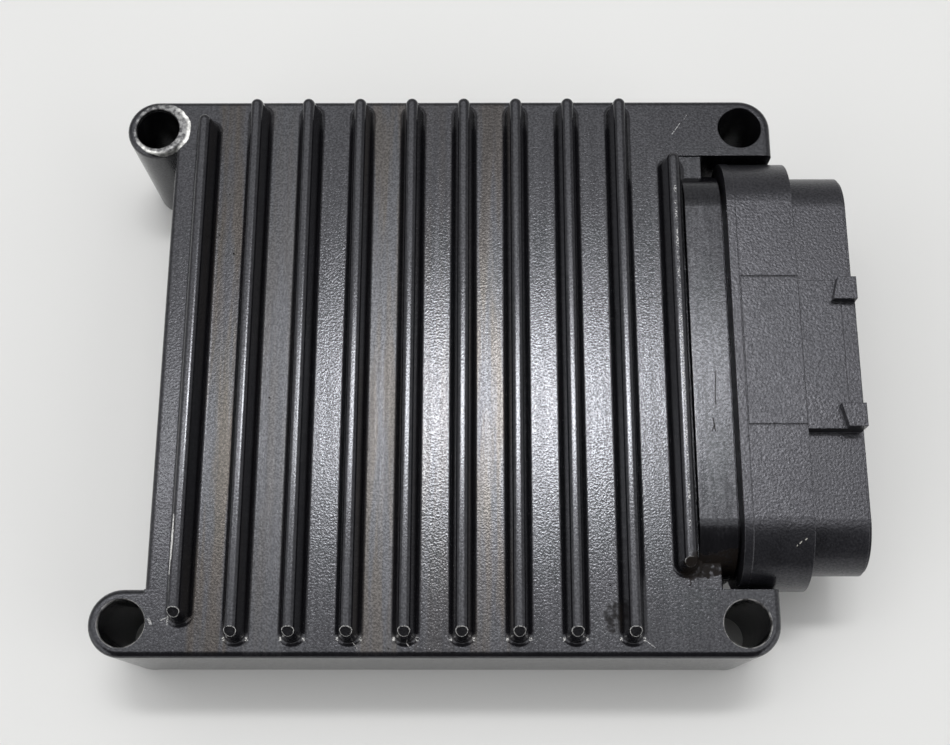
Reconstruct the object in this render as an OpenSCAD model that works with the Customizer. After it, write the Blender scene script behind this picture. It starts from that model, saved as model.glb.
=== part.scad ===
// Finned engine control unit: die-cast housing, sealed right-angle connector header and circuit board.
// Millimetres, +Z up. The ribs point up, the connector mates along +X, the boss feet stand on Z = 0
// and the origin is the middle of the overall box, at its foot.

/* [Housing] */
// Length of the main box along X, from the left wall to the right wall
body_l = 103; // [98:0.5:112]
// Width of the main box along Y
body_w = 108.4; // [106:0.4:114]
// Height of the deck above the boss feet
deck_z = 28; // [27:0.5:31]
// Thickness of the deck
deck_t = 3; // [2.4:0.1:3.6]
// Thickness of the outer walls
wall_t = 3; // [2.7:0.1:3.4]
// Radius of the rounded edge round the deck
edge_r = 1.1; // [0.8:0.1:1.6]
// How far the four boss feet stand below the rim
foot_h = 1; // [0.6:0.1:1.6]
// Depth of the shelf beside the neck, below the deck
shelf_drop = 0.4; // [0.2:0.1:0.8]

/* [Mounting bosses] */
// Radius of each mounting boss
lug_r = 6; // [5.6:0.1:6.6]
// Radius of the four bolt holes
bolt_r = 4.2; // [3.2:0.1:4.6]
// Chamfer at both ends of each bolt hole
bolt_chamfer = 0.15; // [0.1:0.05:0.7]
// How far the left bosses stand out from the left wall
left_reach = 9.8; // [9:0.2:11]
// Distance of the rear right bolt hole beyond the right wall
rear_reach = 7.75; // [6:0.25:9]
// Distance of the front right bolt hole beyond the right wall
front_reach = 3.95; // [3.5:0.05:6]

/* [Cooling ribs] */
// Number of ribs, the last one short beside the neck
rib_count = 10; // [6:1:10]
// Distance from the left wall to the first rib's centre
rib_inset = 6.6; // [5:0.1:8]
// Distance from the last rib's centre to the right wall
last_rib_inset = 6.4; // [6:0.1:8]
// Height of the ribs above the deck
rib_h = 6.2; // [4:0.1:7]
// Width of a rib's crest
rib_crest_w = 2.3; // [1.8:0.1:2.8]
// Radius of the crest's rounded edges
rib_crest_r = 0.9; // [0.5:0.05:0.9]
// Width of a rib at the deck, without its foot fillets
rib_base_w = 3.9; // [3.2:0.1:4.4]
// Radius of the fillet round a rib's foot
rib_foot_r = 1; // [0.6:0.1:1.4]
// Deck left free between the ribs' front feet and the deck's edge
rib_front_gap = 1.7; // [1.4:0.1:4]
// Deck left free between the ribs' rear feet and the deck's edge
rib_rear_gap = 0.8; // [0.8:0.1:4]
// How much shorter the first rib is at each end
first_rib_cut = 3.3; // [0:0.1:6]
// Gap between the last rib's front foot and the front right boss
last_rib_front_gap = 1.7; // [1:0.1:5]
// Gap between the last rib's rear foot and the rear right boss
last_rib_rear_gap = 0.4; // [0.3:0.1:5]
// Length of the slanted facet at a rib's front end, measured along the rib
rib_facet = 1.5; // [1:0.1:2.2]

/* [Connector] */
// Depth of the connector's axis below the deck
axis_drop = 6; // [5.6:0.1:6.5]
// Gap between the collar's ends and the bosses on the right
lug_gap = 0.3; // [0.2:0.1:1]
// Outer radius of the collar's round ends
collar_r = 11.8; // [11:0.1:12.4]
// Length of the collar along X
collar_l = 12.4; // [11:0.1:14]
// Length of the collar's flange band
flange_l = 1.6; // [1:0.1:2.4]
// Step from the flange band down to the rest of the collar
flange_step = 0.12; // [0.1:0.02:0.3]
// Outer radius of the shroud's round ends
shroud_r = 8.9; // [8.6:0.1:9.4]
// Wall of the shroud
shroud_wall = 1.7; // [1.4:0.1:2]
// Length of the shroud beyond the collar
shroud_l = 10.8; // [9:0.1:13]
// Depth of the socket from the mouth to its floor
socket_depth = 19.6; // [17:0.1:21]
// Outer radius of the cast neck round the header
neck_r = 9.3; // [9:0.1:9.8]
// Wall of the cast neck
neck_wall = 1.7; // [1.5:0.1:1.9]
// How far the neck stands out from the right wall
neck_reach = 2.65; // [2:0.05:3.5]
// Groove between the last rib and the neck
neck_groove = 0.2; // [0.2:0.1:1]
// Gap between the neck's end and the collar
collar_gap = 0.6; // [0.4:0.1:1]
// Half width of the raised latch pad on the shroud
pad_half = 14.2; // [12:0.1:16]
// Height of the latch pad above the shroud
pad_h = 2.6; // [2:0.1:2.8]
// Length of the lowered strip on the pad, beside the mouth
pad_strip_l = 3.1; // [2:0.1:5]
// Depth of that strip
pad_strip_d = 0.12; // [0.08:0.02:0.3]
// Width of each latch lug along Y
latch_w = 4.3; // [3:0.1:6]
// Length of each latch lug along X at its inner side
latch_l = 4.4; // [3:0.1:5.5]
// How much the latch lug's back slants
latch_slant = 1.1; // [0.4:0.1:1.6]
// Height of each latch lug above the pad
latch_h = 1.9; // [1.2:0.1:2.4]

/* [Contact pins] */
// Pins in each of the three rows
pins_per_row = 12; // [8:1:12]
// Distance from a row's last pin to the middle of the shroud's round end
pin_margin = 2.6; // [2:0.1:4]
// Distance between the rows
row_pitch = 3.4; // [3:0.1:3.6]
// Side of a square pin
pin_w = 1; // [0.8:0.05:1.2]
// Distance from the mouth back to the pin tips
pin_tip_back = 7.6; // [6:0.1:9]
// Distance between the pin legs of neighbouring rows, where they enter the board
leg_pitch = 2.6; // [2.2:0.1:2.8]

/* [Board and cover] */
// Height of the board's underside
board_z = 9; // [8.2:0.1:9.6]
// Thickness of the circuit board
board_t = 1.6; // [1.2:0.1:2]
// Thickness of the base plate
plate_t = 2; // [1.8:0.1:2.4]
// Thickness of the cover seal
seal_t = 0.5; // [0.4:0.05:0.8]
// Width of the seal's ledge in the housing's rim
ledge_w = 1.4; // [1:0.1:1.6]
// Radius of the screws' shanks
screw_r = 1.3; // [1:0.05:1.5]
// Radius of the screw posts
post_r = 2.9; // [2.6:0.1:3.2]
// Clearance between pieces that fit into each other
fit_gap = 0.06; // [0.04:0.01:0.12]
// Play of the base plate in the rim
plate_gap = 0.2; // [0.1:0.05:0.4]

/* [Hidden] */
$fn = 96;

// Overlap that lets cuts pass through and joined shapes merge
over = 0.5;

// Places along X, worked out from the left end of the overall box
overall_l = left_reach + body_l + neck_reach + collar_gap + collar_l + shroud_l;
left_end = -overall_l / 2;
body_x0 = left_end + left_reach;
body_x1 = body_x0 + body_l;
neck_x1 = body_x1 + neck_reach;
collar_x0 = neck_x1 + collar_gap;
collar_x1 = collar_x0 + collar_l;
mouth_x = collar_x1 + shroud_l;
socket_x0 = mouth_x - socket_depth;
left_hole_x = left_end + lug_r;
rear_hole_x = body_x1 + rear_reach;
front_hole_x = body_x1 + front_reach;

// Places along Y
body_half = body_w / 2;
hole_y = body_half - lug_r;
lug_inner_y = body_half - 2 * lug_r;
end_half = lug_inner_y - lug_gap - collar_r;

// Places along Z
rim_z = foot_h;
plate_top = rim_z + plate_t;
ledge_z = plate_top + seal_t;
board_top = board_z + board_t;
ceiling_z = deck_z - deck_t;
axis_z = deck_z - axis_drop;
shelf_z = deck_z - shelf_drop;

// The housing's cavity, open at the underside
cavity_x0 = body_x0 + wall_t;
cavity_x1 = body_x1 - wall_t;
cavity_half = body_half - wall_t;
cavity_mid = (cavity_x0 + cavity_x1) / 2;

// Ribs
rib_pitch = (body_l - rib_inset - last_rib_inset) / (rib_count - 1);
last_rib_x = body_x1 - last_rib_inset;
rib_flat = rib_crest_w / 2 - rib_crest_r;
rib_side = [rib_base_w / 2 - rib_flat, rib_h - rib_crest_r];
// Draft of a rib's sides, which meet the crest's rounded edges tangentially
rib_draft = atan2(rib_side[0], rib_side[1]) - asin(rib_crest_r / norm(rib_side));
rib_toe = rib_base_w / 2 + rib_foot_r * tan(45 - rib_draft / 2);
foot_sink = 0.02;
neck_x0 = last_rib_x + rib_base_w / 2 + neck_groove;

// Neck, header plug and the seal between them
neck_in_r = neck_r - neck_wall;
plug_seal_t = 0.5;
plug_r = neck_in_r - plug_seal_t - 2 * fit_gap;
seal_x0 = cavity_x1 + wall_t / 3;
seal_x1 = neck_x1 - wall_t / 3;
socket_r = shroud_r - shroud_wall;
mouth_chamfer = 0.5;
insert_line_w = 0.25;
insert_line_d = 0.15;
insert_half = 14.3;
insert_y = 0.75;
key_w = 2.4;
key_h = 1.1;

// Screw posts that hold the cover, three along each long wall
cover_post_y = cavity_half - post_r + over;
cover_post_x = [cavity_x0 + post_r + over, cavity_mid, cavity_x1 - post_r - over];
pilot_r = screw_r + fit_gap;
pilot_depth = 8;
pilot_spare = 1;
head_r = 2.5;
head_h = 1.5;
head_sink = 0.1;
drive_r = 1.2;
drive_depth = 0.8;

// Circuit board outline, its screws and the header's feet
board_gap = 1.2;
board_x0 = cavity_x0 + board_gap;
board_x1 = cavity_x1 - board_gap / 2;
board_half = cover_post_y - post_r - board_gap / 3;
board_post_in = 5.5;
foot_l = 6.4;
foot_w = 6;
header_foot_h = 5;
foot_top = board_top + header_foot_h;
foot_roof = 0.8;
foot_edge = 0.5;
foot_y = end_half + plug_r - foot_w / 2 - foot_edge;
foot_x = cavity_x1 - foot_l / 2 - board_gap / 2;
board_post_x = [board_x0 + board_post_in, board_x1 - foot_l - 2 * post_r];
board_post_y = board_half - board_post_in;
board_head_h = 1.8;

// Pin rows: spacing along Y, tails under the board, tips in the socket and the place of the legs
pin_pitch = 2 * (end_half - pin_margin) / (pins_per_row - 1);
tail_l = 1.2;
tail_z = board_z - tail_l;
tip_x = mouth_x - pin_tip_back;
tip_taper = 1.2;
leg_edge = 1.4;
leg_x0 = board_x1 - leg_edge;

// Pocket in the ceiling over the pins' bends
relief_gap = 1.5;
relief_roof = 0.4;
relief_half = end_half - pin_margin + relief_gap + pin_w / 2;
relief_z = axis_z + row_pitch + pin_w / 2 + relief_roof;

// Parts on the board: body lengths along X, widths along Y, heights, leads and lead spacings
lead_reach = 1.3;
lead_t = 0.2;
lead_share = 0.45;
stand_off = 0.15;
fine_pitch = 1.2;
controller_l = 18;
controller_h = 2.2;
controller_leads = 14;
memory_l = 10;
memory_w = 6.2;
memory_h = 1.9;
memory_leads = 8;
driver_l = 15;
driver_w = 7.5;
driver_h = 2.3;
driver_leads = 12;
regulator_l = 9.4;
regulator_w = 7.5;
regulator_h = 2.5;
regulator_leads = 5;
regulator_pitch = 1.7;
can_r = 4.9;
can_h = 10;
can_foot_l = 10.4;
can_foot_h = 1.4;
can_count = 3;
inductor_l = 11;
inductor_foot_h = 1.2;
inductor_h = 6.4;
inductor_cap_h = 1.4;
inductor_r = 5;
inductor_neck_r = 3.8;
crystal_l = 11;
crystal_w = 4.6;
crystal_h = 3.6;
diode_l = 4.4;
diode_w = 3.6;
diode_h = 2.2;
diode_count = 8;
diode_pitch = 6.5;
resistor_l = 3.2;
resistor_w = 1.6;
resistor_h = 0.6;
resistor_count = 9;
resistor_pitch = 3.2;
small_cap_l = 2;
small_cap_w = 1.3;
small_cap_h = 1.1;
small_cap_count = 8;
small_cap_pitch = 3.4;

// The main row of parts is spread evenly from the board's left edge to the pin legs
row_end = leg_x0 - 2 * leg_pitch - pin_w;
controller_span = controller_l + 2 * lead_reach;
row_parts_l = regulator_l + memory_l + controller_span + resistor_l + driver_l + small_cap_l + diode_l;
row_gap_count = 8;
part_gap = (row_end - board_x0 - row_parts_l) / row_gap_count;
regulator_x = board_x0 + part_gap + regulator_l / 2;
memory_x = regulator_x + regulator_l / 2 + part_gap + memory_l / 2;
controller_x = memory_x + memory_l / 2 + part_gap + controller_span / 2;
resistor_x = controller_x + controller_span / 2 + part_gap + resistor_l / 2;
driver_x = resistor_x + resistor_l / 2 + part_gap + driver_l / 2;
small_cap_x = driver_x + driver_l / 2 + part_gap + small_cap_l / 2;
diode_x = small_cap_x + small_cap_l / 2 + part_gap + diode_l / 2;
regulator_y = 2;
memory_y = -4;
controller_y = -4;
driver_y = [-22, 10];

// Behind the main row stands the inductor, before it the capacitors and the crystal
can_gap = 1.6;
can_x = regulator_x;
can_y = controller_y - controller_span / 2 - can_gap - can_foot_l / 2;
inductor_x = memory_x;
inductor_y = memory_y + memory_w / 2 + lead_reach + can_gap + inductor_l / 2;
crystal_x = controller_x;
crystal_y = can_y - can_foot_l / 2 - can_gap - crystal_w / 2;

// Power stage, whose transistors press a thermal pad against the housing's pedestal
transistor_count = 4;
transistor_pitch = 13.5;
transistor_l = 10;
transistor_w = 9;
transistor_h = 4.4;
tab_l = 1.4;
tab_h = 1.3;
power_lead_reach = 4.5;
power_lead_w = 0.9;
power_lead_t = 0.5;
power_lead_z = 2.6;
pad_t = 0.5;
pad_inset = 1;
power_edge = 15;
power_y = board_half - power_edge;
power_x = controller_x;
pedestal_l = transistor_count * transistor_pitch;
pedestal_w = transistor_w + 2 * pad_inset;
pedestal_z = board_top + transistor_h + pad_t;

// Lays a drawing out along X, with its own X along Y and its own Y along Z
module along_x(x0, x1) {
    translate([x0, 0, 0])
        rotate([90, 0, 90])
            linear_extrude(height = x1 - x0)
                children();
}

// Lays a drawing out along Y, with its own X along X and its own Y along Z
module along_y(y0, y1) {
    translate([0, y1, 0])
        rotate([90, 0, 0])
            linear_extrude(height = y1 - y0)
                children();
}

// Box from one corner to the opposite one
module block(low, high) {
    translate(low)
        cube(high - low);
}

// Corner left over outside a rounded edge; it is cut from a square corner at the origin
module edge_waste(r) {
    difference() {
        translate([-over, -r])
            square([r + over, r + over]);
        translate([r, -r])
            circle(r = r);
    }
}

// Upright rectangle whose top corners are rounded where asked
module round_top(a, b, low, high, round_a, round_b) {
    difference() {
        translate([a, low])
            square([b - a, high - low]);
        if (round_a)
            translate([a, high])
                edge_waste(edge_r);
        if (round_b)
            translate([b, high])
                mirror([1, 0])
                    edge_waste(edge_r);
    }
}

// Long round-ended outline about the connector's axis
module stadium(r) {
    translate([0, axis_z]) {
        square([2 * end_half, 2 * r], center = true);
        for (side = [-1, 1])
            translate([side * end_half, 0])
                circle(r = r);
    }
}

// The stadium's upper half with straight legs down to a given height
module arch(r, low) {
    stadium(r);
    translate([-end_half - r, low])
        square([2 * (end_half + r), axis_z - low]);
}

// Mounting boss with its rounded top edge
module boss(x, y) {
    translate([x, y, 0])
        rotate_extrude()
            round_top(0, lug_r, 0, deck_z, false, true);
}

// Bolt hole through a boss, chamfered at both ends
module bolt_hole(x, y) {
    translate([x, y, 0]) {
        translate([0, 0, -over])
            cylinder(r = bolt_r, h = deck_z + 2 * over);
        cylinder(r1 = bolt_r + bolt_chamfer, r2 = bolt_r, h = bolt_chamfer);
        translate([0, 0, deck_z - bolt_chamfer])
            cylinder(r1 = bolt_r, r2 = bolt_r + bolt_chamfer, h = bolt_chamfer);
    }
}

bolt_places = [[left_hole_x, hole_y], [rear_hole_x, hole_y],
    [left_hole_x, -hole_y], [front_hole_x, -hole_y]];

// Square end of a right-hand boss, rounded along its outer edge and sharp towards the connector
module lug_end(hole_x, side) {
    along_y(side > 0 ? lug_inner_y : -hole_y, side > 0 ? hole_y : -lug_inner_y)
        round_top(body_x1 - wall_t, hole_x + lug_r, rim_z, deck_z, false, true);
}

// Outside of the casting without ribs, neck and holes
module casting_block() {
    along_y(-hole_y, hole_y)
        round_top(body_x0, body_x1, rim_z, deck_z, true, true);
    along_x(left_hole_x, body_x0 + wall_t)
        round_top(-body_half, -lug_inner_y, rim_z, deck_z, true, true);
    along_x(body_x0, front_hole_x)
        round_top(-body_half, -lug_inner_y, rim_z, deck_z, true, false);
    along_x(left_hole_x, rear_hole_x)
        round_top(hole_y - over, body_half, rim_z, deck_z, false, true);
    lug_end(rear_hole_x, 1);
    lug_end(front_hole_x, -1);
    for (place = bolt_places)
        boss(place[0], place[1]);
}

// Section of a rib: drafted sides, a flat crest with rounded edges, filleted feet rooted below the deck
module rib_section() {
    crest_z = rib_h - rib_crest_r;
    brow_x = rib_flat + rib_crest_r * cos(rib_draft);
    brow_z = crest_z + rib_crest_r * sin(rib_draft);
    side_x = rib_toe - rib_foot_r * cos(rib_draft);
    side_z = rib_foot_r * (1 - sin(rib_draft));
    difference() {
        polygon([[-rib_toe, -over], [rib_toe, -over], [rib_toe, 0], [side_x, side_z],
            [brow_x, brow_z], [rib_flat, rib_h], [-rib_flat, rib_h],
            [-brow_x, brow_z], [-side_x, side_z], [-rib_toe, 0]]);
        for (side = [-1, 1])
            translate([side * rib_toe, rib_foot_r - foot_sink])
                circle(r = rib_foot_r);
    }
    for (side = [-1, 1])
        translate([side * rib_flat, crest_z])
            circle(r = rib_crest_r);
}

// Half of the section, turned through half a circle into a rib's round end, towards +Y
module rib_end() {
    rotate_extrude(angle = 180)
        intersection() {
            rib_section();
            translate([0, -2 * over])
                square([2 * rib_toe, rib_h + 3 * over]);
        }
}

// Half of a rib towards +Y, with its foot reaching to toe_y
module rib_half(toe_y) {
    along_y(0, toe_y - rib_toe)
        rib_section();
    translate([0, toe_y - rib_toe, 0])
        rib_end();
}

// Rib whose front end, towards -Y, is cut by a slanted facet
module rib(x, front_y, rear_y) {
    translate([x, 0, deck_z]) {
        rib_half(rear_y);
        mirror([0, 1, 0])
            difference() {
                rib_half(front_y);
                translate([0, front_y - rib_toe + rib_crest_w / 2 - rib_facet, rib_h])
                    rotate([-45, 0, 0])
                        block([-rib_base_w, 0, 0], [rib_base_w, 3 * rib_facet, 2 * rib_facet]);
            }
    }
}

// Where a rib's foot ends: the first rib is shorter, and the last one stops before the right bosses
function rib_reach(i, edge_gap, boss_gap) = i == rib_count - 1 ? lug_inner_y - boss_gap
    : body_half - edge_gap - (i == 0 ? first_rib_cut : 0);

module ribs() {
    for (i = [0 : rib_count - 1])
        rib(body_x0 + rib_inset + i * rib_pitch, rib_reach(i, rib_front_gap, last_rib_front_gap),
            rib_reach(i, rib_rear_gap, last_rib_rear_gap));
}

// Posts under the deck, each with a blind pilot hole
module post(x, y, low) {
    translate([x, y, low])
        cylinder(r = post_r, h = ceiling_z - low + over);
}

module pilot(x, y, low, depth) {
    translate([x, y, low - over])
        cylinder(r = pilot_r, h = depth + over);
}

// Casting with its ribs and neck, before anything is cut from it
module casting() {
    difference() {
        casting_block();
        block([neck_x0 - neck_groove, -lug_inner_y, shelf_z], [body_x1 + over, lug_inner_y, deck_z + over]);
    }
    ribs();
    along_x(neck_x0, neck_x1)
        arch(neck_r, rim_z);
}

// Cavity, the ledge for the cover, the header's opening and the bolt holes
module casting_cuts() {
    block([cavity_x0, -cavity_half, -over], [cavity_x1, cavity_half, ceiling_z]);
    block([cavity_x0 - ledge_w, -cavity_half - ledge_w, -over],
        [cavity_x1 + ledge_w, cavity_half + ledge_w, ledge_z]);
    along_x(cavity_x1 - over, neck_x1 + over)
        arch(neck_in_r, -over);
    for (place = bolt_places)
        bolt_hole(place[0], place[1]);
}

module housing() {
    color([0.07, 0.07, 0.08])
        difference() {
            union() {
                difference() {
                    casting();
                    casting_cuts();
                }
                for (side = [-1, 1]) {
                    for (x = cover_post_x)
                        post(x, side * cover_post_y, plate_top);
                    for (x = board_post_x)
                        post(x, side * board_post_y, board_top);
                }
                block([power_x - pedestal_l / 2, power_y - pedestal_w / 2, pedestal_z],
                    [power_x + pedestal_l / 2, power_y + pedestal_w / 2, ceiling_z + over]);
            }
            for (side = [-1, 1]) {
                for (x = cover_post_x)
                    pilot(x, side * cover_post_y, plate_top, pilot_depth);
                for (x = board_post_x)
                    pilot(x, side * board_post_y, board_top, pilot_depth);
            }
            block([leg_x(1) - relief_gap, -relief_half, ceiling_z - over],
                [cavity_x1 + over, relief_half, relief_z]);
        }
}

// Outline shared by the base plate and its seal: the rim's opening and a tongue under the header
module plate_outline() {
    gap = plate_gap;
    x0 = cavity_x0 - ledge_w + gap;
    x1 = cavity_x1 + ledge_w - gap;
    half = cavity_half + ledge_w - gap;
    tongue_half = end_half + neck_in_r - gap;
    translate([x0, -half])
        square([x1 - x0, 2 * half]);
    translate([cavity_mid, -tongue_half])
        square([neck_x1 - gap - cavity_mid, 2 * tongue_half]);
}

module base_plate() {
    color([0.5, 0.51, 0.53])
        difference() {
            translate([0, 0, rim_z])
                linear_extrude(height = plate_t)
                    plate_outline();
            for (side = [-1, 1], x = cover_post_x)
                translate([x, side * cover_post_y, rim_z]) {
                    translate([0, 0, -over])
                        cylinder(r = screw_r + 2 * fit_gap, h = plate_t + 2 * over);
                    cylinder(r1 = head_r + 2 * fit_gap, r2 = screw_r + 2 * fit_gap, h = head_h + head_sink);
                }
        }
}

module cover_seal() {
    color([0.16, 0.16, 0.17])
        translate([0, 0, plate_top])
            linear_extrude(height = seal_t)
                difference() {
                    plate_outline();
                    translate([cavity_x0, -cavity_half])
                        square([cavity_x1 - cavity_x0, 2 * cavity_half]);
                    for (side = [-1, 1], x = cover_post_x)
                        translate([x, side * cover_post_y])
                            circle(r = post_r + fit_gap);
                }
}

// Flush countersunk screw, pointing up, with a hexagon socket in its head
module cover_screw(x, y) {
    translate([x, y, rim_z + head_sink])
        difference() {
            union() {
                cylinder(r1 = head_r, r2 = screw_r, h = head_h);
                cylinder(r = screw_r, h = plate_t + pilot_depth - pilot_spare);
            }
            translate([0, 0, -over])
                cylinder(r = drive_r, h = drive_depth + over, $fn = 6);
        }
}

module cover_screws() {
    color([0.62, 0.62, 0.64])
        for (side = [-1, 1], x = cover_post_x)
            cover_screw(x, side * cover_post_y);
}

// Pan-head screw that comes up through the board
module board_screw(x, y, reach) {
    translate([x, y, board_z])
        difference() {
            union() {
                translate([0, 0, -board_head_h])
                    cylinder(r = head_r, h = board_head_h);
                translate([0, 0, -over])
                    cylinder(r = screw_r, h = over + board_t + reach);
            }
            translate([0, 0, -board_head_h - over])
                cylinder(r = drive_r, h = drive_depth + over, $fn = 6);
        }
}

module board_screws() {
    color([0.66, 0.64, 0.5])
        for (side = [-1, 1], x = board_post_x)
            board_screw(x, side * board_post_y, pilot_depth - pilot_spare);
}

module header_screws() {
    color([0.66, 0.64, 0.5])
        for (side = [-1, 1])
            board_screw(foot_x, side * foot_y, foot_top - board_top - 2 * foot_roof);
}

function pin_y(i) = (i - (pins_per_row - 1) / 2) * pin_pitch;
function leg_x(row) = leg_x0 - (row + 1) * leg_pitch;

module circuit_board() {
    hole = pin_w + 2 * fit_gap;
    color([0.05, 0.22, 0.12])
        difference() {
            block([board_x0, -board_half, board_z], [board_x1, board_half, board_top]);
            for (row = [-1 : 1], i = [0 : pins_per_row - 1])
                translate([leg_x(row) - hole / 2, pin_y(i) - hole / 2, board_z - over])
                    cube([hole, hole, board_t + 2 * over]);
            for (side = [-1, 1]) {
                for (x = board_post_x)
                    translate([x, side * board_post_y, board_z - over])
                        cylinder(r = pilot_r, h = board_t + 2 * over);
                translate([foot_x, side * foot_y, board_z - over])
                    cylinder(r = pilot_r, h = board_t + 2 * over);
            }
        }
}

// Latch lug: its longer side faces the middle of the connector
module latch_lug(side) {
    x1 = mouth_x - mouth_chamfer;
    inner = pad_half - latch_w;
    translate([0, 0, axis_z + shroud_r])
        linear_extrude(height = pad_h + latch_h)
            polygon([[x1, side * inner], [x1, side * pad_half],
                [x1 - latch_l + latch_slant, side * pad_half], [x1 - latch_l, side * inner]]);
}

// Faint frame left by a mould insert on the collar's top, open towards the shroud
module insert_frame() {
    x0 = collar_x0 + flange_l;
    x1 = collar_x1 + over;
    top = axis_z + collar_r - flange_step;
    translate([0, insert_y, top - insert_line_d])
        linear_extrude(height = over)
            difference() {
                translate([x0, -insert_half])
                    square([x1 - x0, 2 * insert_half]);
                translate([x0 + insert_line_w, -insert_half + insert_line_w])
                    square([x1 - x0, 2 * (insert_half - insert_line_w)]);
            }
}

// Raised pad on the shroud, a little lower beside the mouth
module latch_pad() {
    x1 = mouth_x - mouth_chamfer;
    top = axis_z + shroud_r + pad_h;
    difference() {
        block([collar_x0, -pad_half, axis_z], [x1, pad_half, top]);
        block([mouth_x - pad_strip_l, -pad_half - over, top - pad_strip_d],
            [x1 + over, pad_half + over, top + over]);
    }
}

module connector_header() {
    slot = pin_w + 2 * fit_gap;
    color([0.11, 0.11, 0.115])
        difference() {
            union() {
                along_x(collar_x0, collar_x0 + flange_l)
                    stadium(collar_r);
                along_x(collar_x0, collar_x1)
                    stadium(collar_r - flange_step);
                along_x(collar_x0, mouth_x - mouth_chamfer)
                    stadium(shroud_r);
                along_x(collar_x0, mouth_x)
                    stadium(shroud_r - mouth_chamfer);
                along_x(cavity_x1, collar_x0 + over)
                    arch(plug_r, ledge_z);
                latch_pad();
                for (side = [-1, 1]) {
                    latch_lug(side);
                    block([foot_x - foot_l / 2, side * foot_y - foot_w / 2, board_top],
                        [cavity_x1 + over, side * foot_y + foot_w / 2, foot_top]);
                }
            }
            difference() {
                along_x(socket_x0, mouth_x + over)
                    stadium(socket_r);
                block([socket_x0 - over, -key_w / 2, axis_z - socket_r - over],
                    [mouth_x - pin_tip_back, key_w / 2, axis_z - socket_r + key_h]);
            }
            for (row = [-1 : 1], i = [0 : pins_per_row - 1])
                translate([cavity_x1 - over, pin_y(i) - slot / 2, axis_z + row * row_pitch - slot / 2])
                    cube([socket_x0 - cavity_x1 + 2 * over, slot, slot]);
            for (side = [-1, 1])
                pilot(foot_x, side * foot_y, board_top, foot_top - board_top - foot_roof);
            insert_frame();
        }
}

// Seal strip in the gap between the header's plug and the cast neck
module connector_seal() {
    color([0.55, 0.2, 0.12])
        along_x(seal_x0, seal_x1)
            difference() {
                arch(neck_in_r - fit_gap, ledge_z);
                arch(plug_r + fit_gap, ledge_z - over);
            }
}

// One row of contacts: blade into the socket, bent down to the board
module pin_row(row) {
    z0 = axis_z + row * row_pitch - pin_w / 2;
    z1 = z0 + pin_w;
    x0 = leg_x(row) - pin_w / 2;
    x1 = x0 + pin_w;
    taper = pin_w / 3;
    color([0.78, 0.72, 0.55])
        for (i = [0 : pins_per_row - 1])
            along_y(pin_y(i) - pin_w / 2, pin_y(i) + pin_w / 2)
                polygon([[x0, tail_z], [x1, tail_z], [x1, z0], [tip_x - tip_taper, z0],
                    [tip_x, z0 + taper], [tip_x, z1 - taper], [tip_x - tip_taper, z1],
                    [x0 + taper, z1], [x0, z1 - taper]]);
}

module upper_pins() {
    pin_row(1);
}

module middle_pins() {
    pin_row(0);
}

module lower_pins() {
    pin_row(-1);
}

// Bent lead along +X, from a package's side down to the board
module lead(reach, w, t, shoulder) {
    knee = reach / 3;
    along_y(-w / 2, w / 2)
        polygon([[-over, shoulder], [knee + t, shoulder], [knee + t, t], [reach, t],
            [reach, 0], [knee, 0], [knee, shoulder - t], [-over, shoulder - t]]);
}

// Moulded package with leads on two opposite sides, or on all four
module package(l, w, h, leads, pitch, turns) {
    translate([0, 0, board_top]) {
        block([-l / 2, -w / 2, stand_off], [l / 2, w / 2, h]);
        for (turn = turns)
            rotate(turn)
                for (i = [0 : leads - 1])
                    translate([(turn % 180 == 0 ? l : w) / 2, (i - (leads - 1) / 2) * pitch, 0])
                        lead(lead_reach, pitch * lead_share, lead_t, (h + lead_t) / 2);
    }
}

module microcontroller() {
    color([0.08, 0.08, 0.09])
        translate([controller_x, controller_y])
            package(controller_l, controller_l, controller_h, controller_leads, fine_pitch,
                [0, 90, 180, 270]);
}

module memory_chip() {
    color([0.09, 0.09, 0.1])
        translate([memory_x, memory_y])
            package(memory_l, memory_w, memory_h, memory_leads, fine_pitch, [90, 270]);
}

module driver_chips() {
    color([0.1, 0.1, 0.11])
        for (y = driver_y)
            translate([driver_x, y])
                package(driver_l, driver_w, driver_h, driver_leads, fine_pitch, [90, 270]);
}

module voltage_regulator() {
    color([0.1, 0.1, 0.11])
        translate([regulator_x, regulator_y])
            package(regulator_l, regulator_w, regulator_h, regulator_leads, regulator_pitch, [90, 270]);
}

// Power transistors with a drain tab towards the board's edge and three leads
module power_transistors() {
    half_l = transistor_l / 2;
    half_w = transistor_w / 2;
    color([0.12, 0.12, 0.13])
        for (i = [0 : transistor_count - 1])
            translate([power_x + (i - (transistor_count - 1) / 2) * transistor_pitch, power_y, board_top]) {
                block([-half_l, -half_w, 0], [half_l, half_w, transistor_h]);
                block([-half_l, half_w - over, 0], [half_l, half_w + tab_l, tab_h]);
                for (side = [-1, 0, 1])
                    translate([side * half_l / 2, -half_w, 0])
                        rotate(-90)
                            lead(power_lead_reach, power_lead_w, power_lead_t, power_lead_z);
            }
}

module thermal_pad() {
    half_l = pedestal_l / 2 - pad_inset;
    color([0.72, 0.7, 0.66])
        block([power_x - half_l, power_y - transistor_w / 2, pedestal_z - pad_t],
            [power_x + half_l, power_y + transistor_w / 2, pedestal_z]);
}

// Aluminium cans on square plastic feet
module filter_capacitors() {
    color([0.72, 0.73, 0.75])
        for (i = [0 : can_count - 1])
            translate([can_x + i * (can_foot_l + can_gap), can_y, board_top]) {
                block([-can_foot_l / 2, -can_foot_l / 2, 0], [can_foot_l / 2, can_foot_l / 2, can_foot_h]);
                cylinder(r = can_r, h = can_h);
            }
}

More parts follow.
